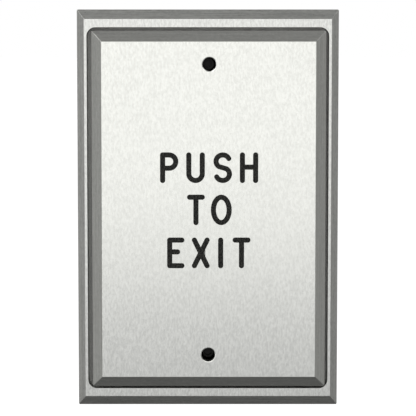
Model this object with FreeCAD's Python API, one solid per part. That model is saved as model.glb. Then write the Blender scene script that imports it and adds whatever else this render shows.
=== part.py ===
import FreeCAD, Part
import math
import os

# Door exit button: a milled surround on a wall box, with a sprung push plate that works a snap switch.
# Millimetres. X is to the right seen from the front, Z is up, and the front looks along -Y.
# The wall is the plane y = 0, and the origin lies midway between the two box screws.

# Push plate, machined from flat bar; it reaches this far past the box screws at each end
PLATE_WIDTH = 67.0
PLATE_PAST_SCREW = 9.53
PLATE_THICKNESS = 4.76
PLATE_BEVEL_SIDE = 2.95
PLATE_BEVEL_END = 3.1
PLATE_BEVEL_DEPTH = 2.5
PLATE_CORNER_RADIUS = 0.6
PLATE_SHIFT_X = 0.27
PLATE_SHIFT_Z = -0.1
PLATE_PROUD = 3.15
TRAVEL = 1.5

# Surround: gap round the plate, flat land, outer bevel
GAP_SIDE = 1.1
GAP_END = 0.85
LAND_SIDE = 0.8
LAND_END = 2.35
FRAME_BEVEL_SIDE = 2.1
FRAME_BEVEL_END = 2.75
FRAME_BEVEL_DEPTH = 2.2
FRAME_DEPTH = 6.35
FRAME_CORNER_RADIUS = 0.4
POCKET_RADIUS = 2.5
FLOOR_THICKNESS = 1.6
RELIEF_DEPTH = 0.8
RELIEF_RADIUS = 2.0
RIM_WIDTH = 3.0

# Captive box screws, reached through two holes in the plate
BOX_SCREW_SPACING = 83.34
SCREW_SHANK_RADIUS = 1.75
SCREW_NECK_RADIUS = 1.4
SCREW_HEAD_RADIUS = 3.33
SCREW_HEAD_HEIGHT = 1.85
SCREW_CROWN_RADIUS = 1.5
SCREW_CROWN_BULGE = 0.37
SCREW_LENGTH = 19.0
SCREW_TIP_CHAMFER = 0.4
SCREW_HOLE_CLEARANCE = 0.6
SOCKET_ACROSS_FLATS = 1.98
SOCKET_DEPTH = 1.1
RETAINER_RADIUS = 3.5
RETAINER_THICKNESS = 0.5
RETAINER_PLAY = 0.1
ACCESS_HOLE_RADIUS = 1.97
ACCESS_HOLE_SKEW = 0.16
HEAD_RELIEF_CLEARANCE = 0.9
HEAD_RELIEF_DEPTH = 1.5

# Guide pins, bushings and retaining rings
PIN_FROM_SIDE = 14.6
PIN_FROM_END = 22.05
PIN_RADIUS = 1.5
PIN_SEAT_DEPTH = 3.0
PIN_TAIL = 1.8
PIN_CHAMFER = 0.3
PIN_CLEARANCE = 0.05
BUSH_RADIUS = 3.0
BUSH_FLANGE_RADIUS = 4.0
RING_RADIUS = 3.0
RING_THICKNESS = 0.6
RING_GROOVE_RADIUS = 1.15
RING_SLOT_WIDTH = 2.0
RING_PLAY = 0.03

# Bowed leaf springs, each riveted to the floor at its lower end
SPRING_FROM_SIDE = 7.6
SPRING_SPAN = 50.0
SPRING_WIDTH = 6.0
SPRING_THICKNESS = 0.25
SPRING_TONGUE = 5.0
SPRING_CLEARANCE = 0.02
RIVET_RADIUS = 1.0
RIVET_HEAD_RADIUS = 1.8
RIVET_HEAD_HEIGHT = 0.4
RIVET_TAIL_RADIUS = 1.6
RIVET_TAIL_HEIGHT = 0.5

# Rubber stops
STOP_RADIUS = 3.0
STOP_FROM_SIDE = 7.6
STOP_FROM_END = 8.05
STOP_CLEARANCE = 0.04

# Striker: a domed set screw and its locknut
STRIKER_Z = 0.0
STRIKER_RADIUS = 1.5
STRIKER_DOME_RADIUS = 3.0
STRIKER_THREAD_DEPTH = 3.0
STRIKER_CLEARANCE = 0.05
NUT_ACROSS_FLATS = 5.5
LOCKNUT_THICKNESS = 1.8
WINDOW_RADIUS = 4.5

# Switch lever, its pin and the plunger
LEVER_SETBACK = 1.4
LEVER_THICKNESS = 0.4
LEVER_WIDTH = 4.0
LEVER_OVERHANG = 3.0
LEVER_PIN_RADIUS = 0.5
LEVER_PIN_OVERHANG = 0.35
LEVER_PIN_CLEARANCE = 0.05
LEVER_PIVOT_DEPTH = 1.5
EAR_RADIUS = 0.95
EAR_CLEARANCE = 0.1
STRIKER_ARM = 22.0
PLUNGER_ARM = 8.0
PLUNGER_RADIUS = 1.6
PLUNGER_DOME_RADIUS = 2.5
PLUNGER_LENGTH = 5.15
PLUNGER_CLEARANCE = 0.05
PLUNGER_BORE_DEPTH = 4.0
LUG_COVER = 0.35

# Switch case, cover and terminals
CASE_SETBACK = 4.0
CASE_LENGTH = 27.8
CASE_DEPTH = 15.9
CASE_THICKNESS = 10.3
CASE_CORNER_RADIUS = 1.0
COVER_THICKNESS = 1.5
PIVOT_FROM_END = 1.9
SWITCH_HOLE_INSET = 2.8
SWITCH_HOLE_SPACING_Y = 10.3
TAB_WIDTH = 4.75
TAB_THICKNESS = 0.8
TAB_LENGTH = 7.9
TAB_SEAT_DEPTH = 3.0
TAB_CHAMFER = 1.0
TAB_HOLE_RADIUS = 0.8
TAB_HOLE_FROM_TIP = 3.95
TAB_FROM_LOW_END = 3.4
TAB_FROM_HIGH_END = 9.4

# Switch screws and nuts
SWITCH_SCREW_RADIUS = 1.5
SWITCH_SCREW_CLEARANCE = 0.1
SWITCH_SCREW_HEAD_RADIUS = 2.8
SWITCH_SCREW_HEAD_HEIGHT = 2.0
SWITCH_SCREW_HEAD_FILLET = 1.0
SWITCH_SCREW_TAIL = 0.75
SWITCH_NUT_THICKNESS = 2.4

# Folded bracket and its countersunk screws
BRACKET_THICKNESS = 1.2
BRACKET_BEND_RADIUS = 1.0
BRACKET_FOOT_WIDTH = 13.2
BRACKET_WEB_REACH = 1.5
BRACKET_SCREW_OFFSET = 7.8
BRACKET_SCREW_FROM_END = 5.9
BRACKET_SCREW_RADIUS = 1.25
BRACKET_SCREW_HEAD_RADIUS = 2.35
BRACKET_SCREW_TAIL = 0.5
BRACKET_HOLE_CLEARANCE = 0.15

# Cutters run this far past the faces they open
CUT = 1.0

# Two directions count as one when they differ by less than this
FLAT = 0.001

HEXAGON_SIDES = 6

# Sizes of the plate and the surround
plate_height = BOX_SCREW_SPACING + 2 * PLATE_PAST_SCREW
opening_width = PLATE_WIDTH + 2 * GAP_SIDE
opening_height = plate_height + 2 * GAP_END
frame_width = opening_width + 2 * (LAND_SIDE + FRAME_BEVEL_SIDE)
frame_height = opening_height + 2 * (LAND_END + FRAME_BEVEL_END)

# Planes from the front to the back
land_y = -FRAME_DEPTH
face_y = land_y - PLATE_PROUD
plate_rear_y = face_y + PLATE_THICKNESS
floor_rear_y = -RELIEF_DEPTH
floor_front_y = floor_rear_y - FLOOR_THICKNESS
stop_front_y = plate_rear_y + TRAVEL + STOP_CLEARANCE
pin_head_y = plate_rear_y - PIN_SEAT_DEPTH
lever_front_y = LEVER_SETBACK
lever_rear_y = lever_front_y + LEVER_THICKNESS
pivot_y = lever_front_y + LEVER_PIVOT_DEPTH
striker_tip_y = lever_front_y - STRIKER_CLEARANCE
case_front_y = CASE_SETBACK
case_rear_y = case_front_y + CASE_DEPTH

# Places of the switch along the surround
pivot_z = STRIKER_Z - STRIKER_ARM
plunger_z = pivot_z + PLUNGER_ARM
case_low_z = pivot_z - PIVOT_FROM_END
case_high_z = case_low_z + CASE_LENGTH
case_side_x = CASE_THICKNESS / 2
web_outer_x = case_side_x + BRACKET_THICKNESS
nut_outer_x = web_outer_x + SWITCH_NUT_THICKNESS

# Places of what repeats, each as two coordinates
box_screw_places = [(0, side * BOX_SCREW_SPACING / 2) for side in (-1, 1)]
pin_x = opening_width / 2 - PIN_FROM_SIDE
pin_z = opening_height / 2 - PIN_FROM_END
pin_places = [(i * pin_x, j * pin_z) for i in (-1, 1) for j in (-1, 1)]
stop_x = opening_width / 2 - STOP_FROM_SIDE
stop_z = opening_height / 2 - STOP_FROM_END
stop_places = [(i * stop_x, j * stop_z) for i in (-1, 1) for j in (-1, 1)]
spring_x = opening_width / 2 - SPRING_FROM_SIDE
spring_places = [(side * spring_x, 0) for side in (-1, 1)]
rivet_drop = (SPRING_SPAN + SPRING_TONGUE) / 2
rivet_places = [(x, z - rivet_drop) for x, z in spring_places]
bracket_screw_x = case_side_x + BRACKET_SCREW_OFFSET
bracket_screw_places = [
    (bracket_screw_x, case_low_z + BRACKET_SCREW_FROM_END),
    (bracket_screw_x, case_high_z - BRACKET_SCREW_FROM_END),
]
first_tab_z = case_low_z + TAB_FROM_LOW_END
last_tab_z = case_high_z - TAB_FROM_HIGH_END
tab_places = [first_tab_z, (first_tab_z + last_tab_z) / 2, last_tab_z]
first_hole_y = case_front_y + SWITCH_HOLE_INSET
switch_screw_places = [
    (first_hole_y, case_low_z + SWITCH_HOLE_INSET),
    (first_hole_y + SWITCH_HOLE_SPACING_Y, case_high_z - SWITCH_HOLE_INSET),
]

FRONT_TO_BACK = FreeCAD.Vector(0, 1, 0)
LEFT_TO_RIGHT = FreeCAD.Vector(1, 0, 0)
UPWARD = FreeCAD.Vector(0, 0, 1)
NOWHERE = FreeCAD.Vector(0, 0, 0)


def rod(radius, front, rear, x=0, z=0):
    """Round bar along Y between two planes."""
    return Part.makeCylinder(radius, rear - front, FreeCAD.Vector(x, front, z), FRONT_TO_BACK)


def cross_rod(radius, left, right, y, z):
    """Round bar along X between two planes."""
    return Part.makeCylinder(radius, right - left, FreeCAD.Vector(left, y, z), LEFT_TO_RIGHT)


def block(width, height, front, rear, x=0, z=0):
    """Square-cornered block, centred on x and z."""
    corner = FreeCAD.Vector(x - width / 2, front, z - height / 2)
    return Part.makeBox(width, rear - front, height, corner)


def edges_along(shape, direction):
    """Straight edges that run along one axis."""
    found = []
    for edge in shape.Edges:
        straight = isinstance(edge.Curve, Part.Line)
        if straight and edge.Curve.Direction.cross(direction).Length < FLAT:
            found.append(edge)
    return found


def rounded_block(width, height, front, rear, radius, x=0, z=0):
    """Block whose four corners are rounded as seen from the front."""
    plain = block(width, height, front, rear, x, z)
    return plain.makeFillet(radius, edges_along(plain, FRONT_TO_BACK))


def bevelled_block(width, height, front, rear, bevel, bevel_depth, radius, x=0, z=0):
    """Block with mitred bevels round its front face; bevel is (side, end) width."""
    side, end = bevel
    edge = front + bevel_depth
    left = x - width / 2
    low = z - height / 2
    right = left + width
    high = low + height
    crown = Part.makeWedge(
        left + side, front, low + end, low, left, right - side, edge, high - end, high, right
    )
    whole = crown.fuse(block(width, height, edge, rear, x, z)).removeSplitter()
    return whole.common(rounded_block(width, height, front, rear, radius, x, z))


def turned(points, x, z):
    """Turned piece from (radius, y) points; a step with two more numbers is an arc through that point."""
    edges = []
    last = FreeCAD.Vector(points[0][0], points[0][1], 0)
    for step in points[1:]:
        end = FreeCAD.Vector(step[0], step[1], 0)
        if len(step) == 4:
            middle = FreeCAD.Vector(step[2], step[3], 0)
            edges.append(Part.Arc(last, middle, end).toShape())
        else:
            edges.append(Part.LineSegment(last, end).toShape())
        last = end
    face = Part.Face(Part.Wire(edges))
    solid = face.revolve(NOWHERE, FRONT_TO_BACK)
    solid.translate(FreeCAD.Vector(x, 0, z))
    return solid


def hexagon(across_flats, centre, direction, length, first_corner):
    """Six-sided prism; first_corner points from the axis to one corner."""
    radius = across_flats / math.sqrt(3)
    corners = []
    for turn in range(HEXAGON_SIDES + 1):
        spin = FreeCAD.Rotation(direction, turn * 360 / HEXAGON_SIDES)
        corners.append(centre + spin.multVec(first_corner) * radius)
    return Part.Face(Part.makePolygon(corners)).extrude(direction * length)


def sagitta(sphere_radius, radius):
    """How far a dome of this sphere rises over a rod of this radius."""
    return sphere_radius - math.sqrt(sphere_radius**2 - radius**2)


def dome_step(radius, base, sphere_radius, rise):
    """Arc step of turned() from the rim of a rod to its crown; rise is -1 to the front, 1 to the back."""
    half = radius / 2
    crown = base + rise * sagitta(sphere_radius, radius)
    middle = crown - rise * sagitta(sphere_radius, half)
    return (0, crown, half, middle)


def mounting_frame():
    """Milled surround: bevelled rim, round-cornered pocket, thin floor, relieved back."""
    frame = bevelled_block(
        frame_width, frame_height, land_y, 0,
        (FRAME_BEVEL_SIDE, FRAME_BEVEL_END), FRAME_BEVEL_DEPTH, FRAME_CORNER_RADIUS,
    )
    pocket = rounded_block(opening_width, opening_height, land_y - CUT, floor_front_y, POCKET_RADIUS)
    relief = rounded_block(
        frame_width - 2 * RIM_WIDTH, frame_height - 2 * RIM_WIDTH, floor_rear_y, CUT, RELIEF_RADIUS
    )
    frame = frame.cut([pocket, relief] + floor_cuts())
    return frame


def floor_cuts():
    """Holes in the floor of the surround."""
    front = floor_front_y - CUT
    rear = floor_rear_y + CUT
    cuts = [rod(BUSH_RADIUS, front, rear, x, z) for x, z in pin_places]
    cuts += [rod(SCREW_NECK_RADIUS + SCREW_HOLE_CLEARANCE, front, rear, x, z) for x, z in box_screw_places]
    cuts += [rod(RIVET_RADIUS, front, rear, x, z) for x, z in rivet_places]
    cuts.append(rod(WINDOW_RADIUS, front, rear, 0, STRIKER_Z))
    for x, z in bracket_screw_places:
        cuts.append(rod(BRACKET_SCREW_RADIUS + BRACKET_HOLE_CLEARANCE, front, rear, x, z))
        cuts.append(countersink(x, z))
    return cuts


def countersink(x, z):
    """Cone that the bracket screw's head fills, flush with the floor."""
    depth = BRACKET_SCREW_HEAD_RADIUS - BRACKET_SCREW_RADIUS
    place = FreeCAD.Vector(x, floor_front_y, z)
    return Part.makeCone(BRACKET_SCREW_HEAD_RADIUS, BRACKET_SCREW_RADIUS, depth, place, FRONT_TO_BACK)


def push_plate():
    """Flat plate with wide mitred bevels, drilled for the screw key and bored behind."""
    plate = bevelled_block(
        PLATE_WIDTH, plate_height, face_y, plate_rear_y,
        (PLATE_BEVEL_SIDE, PLATE_BEVEL_END), PLATE_BEVEL_DEPTH, PLATE_CORNER_RADIUS,
        PLATE_SHIFT_X, PLATE_SHIFT_Z,
    )
    rear = plate_rear_y + CUT
    head_relief = SCREW_HEAD_RADIUS + HEAD_RELIEF_CLEARANCE
    cuts = []
    for side, (x, z) in zip((-1, 1), box_screw_places):
        hole_x = x + PLATE_SHIFT_X + side * ACCESS_HOLE_SKEW
        cuts.append(rod(ACCESS_HOLE_RADIUS, face_y - CUT, rear, hole_x, z + PLATE_SHIFT_Z))
        cuts.append(rod(head_relief, plate_rear_y - HEAD_RELIEF_DEPTH, rear, x, z))
    cuts += [rod(PIN_RADIUS, pin_head_y, rear, x, z) for x, z in pin_places]
    cuts.append(rod(STRIKER_RADIUS, plate_rear_y - STRIKER_THREAD_DEPTH, rear, 0, STRIKER_Z))
    return plate.cut(cuts)


def guide_pin(x, z):
    """Ground pin pressed into the plate, with a groove for its retaining ring."""
    groove_front = RING_PLAY
    groove_rear = groove_front + RING_THICKNESS
    return turned(
        [
            (0, pin_head_y),
            (PIN_RADIUS - PIN_CHAMFER, pin_head_y),
            (PIN_RADIUS, pin_head_y + PIN_CHAMFER),
            (PIN_RADIUS, groove_front),
            (RING_GROOVE_RADIUS, groove_front),
            (RING_GROOVE_RADIUS, groove_rear),
            (PIN_RADIUS, groove_rear),
            (PIN_RADIUS, PIN_TAIL - PIN_CHAMFER),
            (PIN_RADIUS - PIN_CHAMFER, PIN_TAIL),
            (0, PIN_TAIL),
            (0, pin_head_y),
        ],
        x, z,
    )


def guide_bushing(x, z):
    """Flanged plastic bush: the sleeve fills the floor's hole, the flange fills the relief behind it."""
    bore = PIN_RADIUS + PIN_CLEARANCE
    return turned(
        [
            (bore, floor_front_y),
            (BUSH_RADIUS, floor_front_y),
            (BUSH_RADIUS, floor_rear_y),
            (BUSH_FLANGE_RADIUS, floor_rear_y),
            (BUSH_FLANGE_RADIUS, 0),
            (bore, 0),
            (bore, floor_front_y),
        ],
        x, z,
    )


def retaining_ring(x, z):
    """Open ring that snaps into the pin's groove and stops it against the bush; its slot looks down."""
    front = RING_PLAY
    rear = front + RING_THICKNESS
    ring = rod(RING_RADIUS, front, rear, x, z)
    seat = rod(RING_GROOVE_RADIUS, front, rear, x, z)
    slot = block(RING_SLOT_WIDTH, RING_RADIUS, front, rear, x, z - RING_RADIUS / 2)
    return ring.cut([seat, slot])


def return_spring(x, z):
    """Bowed strip of spring steel: its crown bears on the plate, its flat tongue is riveted down."""
    half = SPRING_SPAN / 2
    low = z - half - SPRING_TONGUE
    under_crown = plate_rear_y + SPRING_CLEARANCE + SPRING_THICKNESS
    top_y = floor_front_y - SPRING_THICKNESS

    def at(y, height):
        return FreeCAD.Vector(x - SPRING_WIDTH / 2, y, height)

    edges = [
        Part.LineSegment(at(floor_front_y, low), at(floor_front_y, z - half)).toShape(),
        Part.Arc(at(floor_front_y, z - half), at(under_crown, z), at(floor_front_y, z + half)).toShape(),
        Part.LineSegment(at(floor_front_y, z + half), at(top_y, z + half)).toShape(),
        Part.Arc(
            at(top_y, z + half), at(under_crown - SPRING_THICKNESS, z), at(top_y, z - half)
        ).toShape(),
        Part.LineSegment(at(top_y, z - half), at(top_y, low)).toShape(),
        Part.LineSegment(at(top_y, low), at(floor_front_y, low)).toShape(),
    ]
    strip = Part.Face(Part.Wire(edges)).extrude(LEFT_TO_RIGHT * SPRING_WIDTH)
    return strip.cut(rod(RIVET_RADIUS, top_y - CUT, floor_front_y + CUT, x, z - rivet_drop))


def spring_rivet(x, z):
    """Rivet through a spring's tongue and the floor, closed in the relief behind."""
    head_rear = floor_front_y - SPRING_THICKNESS
    head_front = head_rear - RIVET_HEAD_HEIGHT
    tail_rear = floor_rear_y + RIVET_TAIL_HEIGHT
    head = rod(RIVET_HEAD_RADIUS, head_front, head_rear, x, z)
    shank = rod(RIVET_RADIUS, head_rear, floor_rear_y, x, z)
    tail = rod(RIVET_TAIL_RADIUS, floor_rear_y, tail_rear, x, z)
    return head.fuse([shank, tail])


def stop_bumper(x, z):
    """Rubber disc stuck to the floor; the plate meets it at the end of its travel."""
    return rod(STOP_RADIUS, stop_front_y, floor_front_y, x, z)


def mounting_screw(x, z):
    """Button-head screw with a hexagon socket and a neck that keeps it captive."""
    crown = floor_front_y - SCREW_HEAD_HEIGHT
    thread_front = floor_rear_y + RETAINER_THICKNESS + RETAINER_PLAY
    tip = floor_front_y + SCREW_LENGTH
    screw = turned(
        [
            (0, crown),
            (SCREW_CROWN_RADIUS, crown),
            (SCREW_HEAD_RADIUS, floor_front_y) + crown_bulge(crown),
            (SCREW_NECK_RADIUS, floor_front_y),
            (SCREW_NECK_RADIUS, thread_front),
            (SCREW_SHANK_RADIUS, thread_front),
            (SCREW_SHANK_RADIUS, tip - SCREW_TIP_CHAMFER),
            (SCREW_SHANK_RADIUS - SCREW_TIP_CHAMFER, tip),
            (0, tip),
            (0, crown),
        ],
        x, z,
    )
    centre = FreeCAD.Vector(x, crown, z)
    socket = hexagon(SOCKET_ACROSS_FLATS, centre, FRONT_TO_BACK, SOCKET_DEPTH, UPWARD)
    return screw.cut(socket)


def crown_bulge(crown):
    """Point half way down the rounded shoulder of the button head, outside the straight line."""
    middle_radius = (SCREW_CROWN_RADIUS + SCREW_HEAD_RADIUS) / 2
    middle_y = (crown + floor_front_y) / 2
    return (middle_radius + SCREW_CROWN_BULGE, middle_y - SCREW_CROWN_BULGE)


def screw_retainer(x, z):
    """Fibre washer behind the floor, on the neck of a box screw."""
    front = floor_rear_y
    rear = front + RETAINER_THICKNESS
    return rod(RETAINER_RADIUS, front, rear, x, z).cut(rod(SCREW_NECK_RADIUS, front, rear, x, z))


def striker_screw():
    """Set screw in the back of the plate; its domed tip works the lever."""
    head = plate_rear_y - STRIKER_THREAD_DEPTH
    shoulder = striker_tip_y - sagitta(STRIKER_DOME_RADIUS, STRIKER_RADIUS)
    return turned(
        [
            (0, head),
            (STRIKER_RADIUS, head),
            (STRIKER_RADIUS, shoulder),
            dome_step(STRIKER_RADIUS, shoulder, STRIKER_DOME_RADIUS, 1),
            (0, head),
        ],
        0, STRIKER_Z,
    )


def striker_locknut():
    """Thin nut that locks the striker against the plate."""
    centre = FreeCAD.Vector(0, plate_rear_y, STRIKER_Z)
    nut = hexagon(NUT_ACROSS_FLATS, centre, FRONT_TO_BACK, LOCKNUT_THICKNESS, LEFT_TO_RIGHT)
    return nut.cut(rod(STRIKER_RADIUS, plate_rear_y, plate_rear_y + LOCKNUT_THICKNESS, 0, STRIKER_Z))


def switch_lever():
    """Spring-steel lever: a flat strip with two ears folded back round the pivot pin."""
    low = pivot_z - EAR_RADIUS
    high = STRIKER_Z + LEVER_OVERHANG
    lever = block(LEVER_WIDTH, high - low, lever_front_y, lever_rear_y, 0, (low + high) / 2)
    for side in (-1, 1):
        inner = side * (LEVER_WIDTH / 2 - LEVER_THICKNESS)
        outer = side * LEVER_WIDTH / 2
        ear = block(LEVER_THICKNESS, 2 * EAR_RADIUS, lever_front_y, pivot_y, (inner + outer) / 2, pivot_z)
        eye = cross_rod(EAR_RADIUS, min(inner, outer), max(inner, outer), pivot_y, pivot_z)
        lever = lever.fuse([ear, eye])
    hole = cross_rod(LEVER_PIN_RADIUS + LEVER_PIN_CLEARANCE, -LEVER_WIDTH, LEVER_WIDTH, pivot_y, pivot_z)
    return lever.cut(hole).removeSplitter()


def lever_pin():
    """Steel pin pressed through the lug of the case."""
    reach = LEVER_WIDTH / 2 + LEVER_PIN_OVERHANG
    return cross_rod(LEVER_PIN_RADIUS, -reach, reach, pivot_y, pivot_z)


def switch_plunger():
    """Domed plastic plunger between the lever and the snap blade."""
    tip = lever_rear_y + STRIKER_CLEARANCE
    shoulder = tip + sagitta(PLUNGER_DOME_RADIUS, PLUNGER_RADIUS)
    rear = tip + PLUNGER_LENGTH
    return turned(
        [
            (0, rear),
            (PLUNGER_RADIUS, rear),
            (PLUNGER_RADIUS, shoulder),
            dome_step(PLUNGER_RADIUS, shoulder, PLUNGER_DOME_RADIUS, -1),
            (0, rear),
        ],
        0, plunger_z,
    )


def case_outline(left, right):
    """Switch body between two planes of x, rounded at its four corners as seen from the side."""
    body = Part.makeBox(
        right - left, CASE_DEPTH, CASE_LENGTH,
        FreeCAD.Vector(left, case_front_y, case_low_z),
    )
    body = body.makeFillet(CASE_CORNER_RADIUS, edges_along(body, LEFT_TO_RIGHT))
    hole = SWITCH_SCREW_RADIUS + SWITCH_SCREW_CLEARANCE
    return body.cut([cross_rod(hole, left - CUT, right + CUT, y, z) for y, z in switch_screw_places])


def switch_case():
    """Moulded case with the plunger's bore, the lever's lug and slots for the three tabs."""
    case = case_outline(COVER_THICKNESS - case_side_x, case_side_x)
    lug_front = pivot_y - LEVER_PIN_RADIUS - LUG_COVER
    lug_width = LEVER_WIDTH - 2 * (LEVER_THICKNESS + EAR_CLEARANCE)
    lug = block(lug_width, 2 * EAR_RADIUS, lug_front, case_front_y, 0, pivot_z)
    case = case.fuse(lug).removeSplitter()
    bore_radius = PLUNGER_RADIUS + PLUNGER_CLEARANCE
    bore = rod(bore_radius, case_front_y - CUT, case_front_y + PLUNGER_BORE_DEPTH, 0, plunger_z)
    pin_hole = cross_rod(LEVER_PIN_RADIUS, -LEVER_WIDTH, LEVER_WIDTH, pivot_y, pivot_z)
    seat_y = case_rear_y - TAB_SEAT_DEPTH
    slots = [block(TAB_THICKNESS, TAB_WIDTH, seat_y, case_rear_y + CUT, 0, z) for z in tab_places]
    return case.cut([bore, pin_hole] + slots)


def switch_cover():
    """Flat cover of the switch, on the side of the screw heads."""
    return case_outline(-case_side_x, COVER_THICKNESS - case_side_x)


def terminal_tab(z):
    """Push-on tab with a chamfered tip and a latching hole."""
    low = z - TAB_WIDTH / 2
    high = low + TAB_WIDTH
    front = case_rear_y - TAB_SEAT_DEPTH
    tip = case_rear_y + TAB_LENGTH
    outline = [
        (front, low), (tip - TAB_CHAMFER, low), (tip, low + TAB_CHAMFER),
        (tip, high - TAB_CHAMFER), (tip - TAB_CHAMFER, high), (front, high), (front, low),
    ]
    corners = [FreeCAD.Vector(-TAB_THICKNESS / 2, y, z) for y, z in outline]
    tab = Part.Face(Part.makePolygon(corners)).extrude(LEFT_TO_RIGHT * TAB_THICKNESS)
    hole_y = tip - TAB_HOLE_FROM_TIP
    return tab.cut(cross_rod(TAB_HOLE_RADIUS, -TAB_THICKNESS, TAB_THICKNESS, hole_y, z))


def switch_screw(y, z):
    """Pan-head screw through cover, case and bracket."""
    head_x = -case_side_x
    head = cross_rod(SWITCH_SCREW_HEAD_RADIUS, head_x - SWITCH_SCREW_HEAD_HEIGHT, head_x, y, z)
    shank = cross_rod(SWITCH_SCREW_RADIUS, head_x, nut_outer_x + SWITCH_SCREW_TAIL, y, z)
    crown = [edge for edge in head.Edges if edge.BoundBox.XMax < head_x - SWITCH_SCREW_HEAD_HEIGHT / 2]
    return head.makeFillet(SWITCH_SCREW_HEAD_FILLET, crown).fuse(shank).removeSplitter()


def switch_nut(y, z):
    """Plain nut on the bracket's outer face, two of its flats level."""
    centre = FreeCAD.Vector(web_outer_x, y, z)
    nut = hexagon(NUT_ACROSS_FLATS, centre, LEFT_TO_RIGHT, SWITCH_NUT_THICKNESS, FRONT_TO_BACK)
    return nut.cut(cross_rod(SWITCH_SCREW_RADIUS, web_outer_x, nut_outer_x, y, z))


def switch_bracket():
    """Steel angle folded from one strip: the foot lies behind the floor, the web carries the switch."""
    foot_front = floor_rear_y
    foot_rear = foot_front + BRACKET_THICKNESS
    last_hole_y = max(y for y, z in switch_screw_places)
    web_rear = last_hole_y + NUT_ACROSS_FLATS / 2 + BRACKET_WEB_REACH
    foot_end = case_side_x + BRACKET_FOOT_WIDTH
    outer_bend = BRACKET_BEND_RADIUS + BRACKET_THICKNESS
    centre_x = case_side_x + outer_bend
    centre_y = foot_front + outer_bend

    def at(x, y):
        return FreeCAD.Vector(x, y, case_low_z)

    def on_bend(radius):
        reach = radius * math.sqrt(0.5)
        return at(centre_x - reach, centre_y - reach)

    edges = [
        Part.LineSegment(at(case_side_x, web_rear), at(case_side_x, centre_y)).toShape(),
        Part.Arc(at(case_side_x, centre_y), on_bend(outer_bend), at(centre_x, foot_front)).toShape(),
        Part.LineSegment(at(centre_x, foot_front), at(foot_end, foot_front)).toShape(),
        Part.LineSegment(at(foot_end, foot_front), at(foot_end, foot_rear)).toShape(),
        Part.LineSegment(at(foot_end, foot_rear), at(centre_x, foot_rear)).toShape(),
        Part.Arc(
            at(centre_x, foot_rear), on_bend(BRACKET_BEND_RADIUS), at(web_outer_x, centre_y)
        ).toShape(),
        Part.LineSegment(at(web_outer_x, centre_y), at(web_outer_x, web_rear)).toShape(),
        Part.LineSegment(at(web_outer_x, web_rear), at(case_side_x, web_rear)).toShape(),
    ]
    bracket = Part.Face(Part.Wire(edges)).extrude(UPWARD * CASE_LENGTH)
    hole = SWITCH_SCREW_RADIUS + SWITCH_SCREW_CLEARANCE
    cuts = [cross_rod(hole, case_side_x - CUT, web_outer_x + CUT, y, z) for y, z in switch_screw_places]
    for x, z in bracket_screw_places:
        cuts.append(rod(BRACKET_SCREW_RADIUS, foot_front - CUT, foot_rear + CUT, x, z))
    return bracket.cut(cuts)


def bracket_screw(x, z):
    """Countersunk screw from the front of the floor into the tapped foot."""
    rear = floor_rear_y + BRACKET_THICKNESS + BRACKET_SCREW_TAIL
    return countersink(x, z).fuse(rod(BRACKET_SCREW_RADIUS, floor_front_y, rear, x, z)).removeSplitter()


def group(make, places):
    """Identical pieces as one group of separate solids."""
    return Part.makeCompound([make(*place) for place in places])


nodes = {
    "mounting_frame": mounting_frame(),
    "push_plate": push_plate(),
    "guide_pins": group(guide_pin, pin_places),
    "guide_bushings": group(guide_bushing, pin_places),
    "retaining_rings": group(retaining_ring, pin_places),
    "return_springs": group(return_spring, spring_places),
    "spring_rivets": group(spring_rivet, rivet_places),
    "stop_bumpers": group(stop_bumper, stop_places),
    "mounting_screws": group(mounting_screw, box_screw_places),
    "screw_retainers": group(screw_retainer, box_screw_places),
    "striker_screw": striker_screw(),
    "striker_locknut": striker_locknut(),
    "switch_lever": switch_lever(),
    "lever_pin": lever_pin(),
    "switch_plunger": switch_plunger(),
    "switch_case": switch_case(),
    "switch_cover": switch_cover(),
    "common_terminal": terminal_tab(tab_places[0]),
    "normally_closed_terminal": terminal_tab(tab_places[1]),
    "normally_open_terminal": terminal_tab(tab_places[2]),
    "switch_screws": group(switch_screw, switch_screw_places),
    "switch_nuts": group(switch_nut, switch_screw_places),
    "switch_bracket": switch_bracket(),
    "bracket_screws": group(bracket_screw, bracket_screw_places),
}

os.makedirs("parts", exist_ok=True)
for name, shape in nodes.items():
    shape.exportStep(os.path.join("parts", name + ".step"))
    print(f"{name}: {len(shape.Solids)} solid(s), {shape.Volume:.1f} mm3, valid {shape.isValid()}")
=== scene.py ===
from math import cos, pi, radians, sin

import bmesh
import bpy
from mathutils import Matrix, Vector


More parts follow.
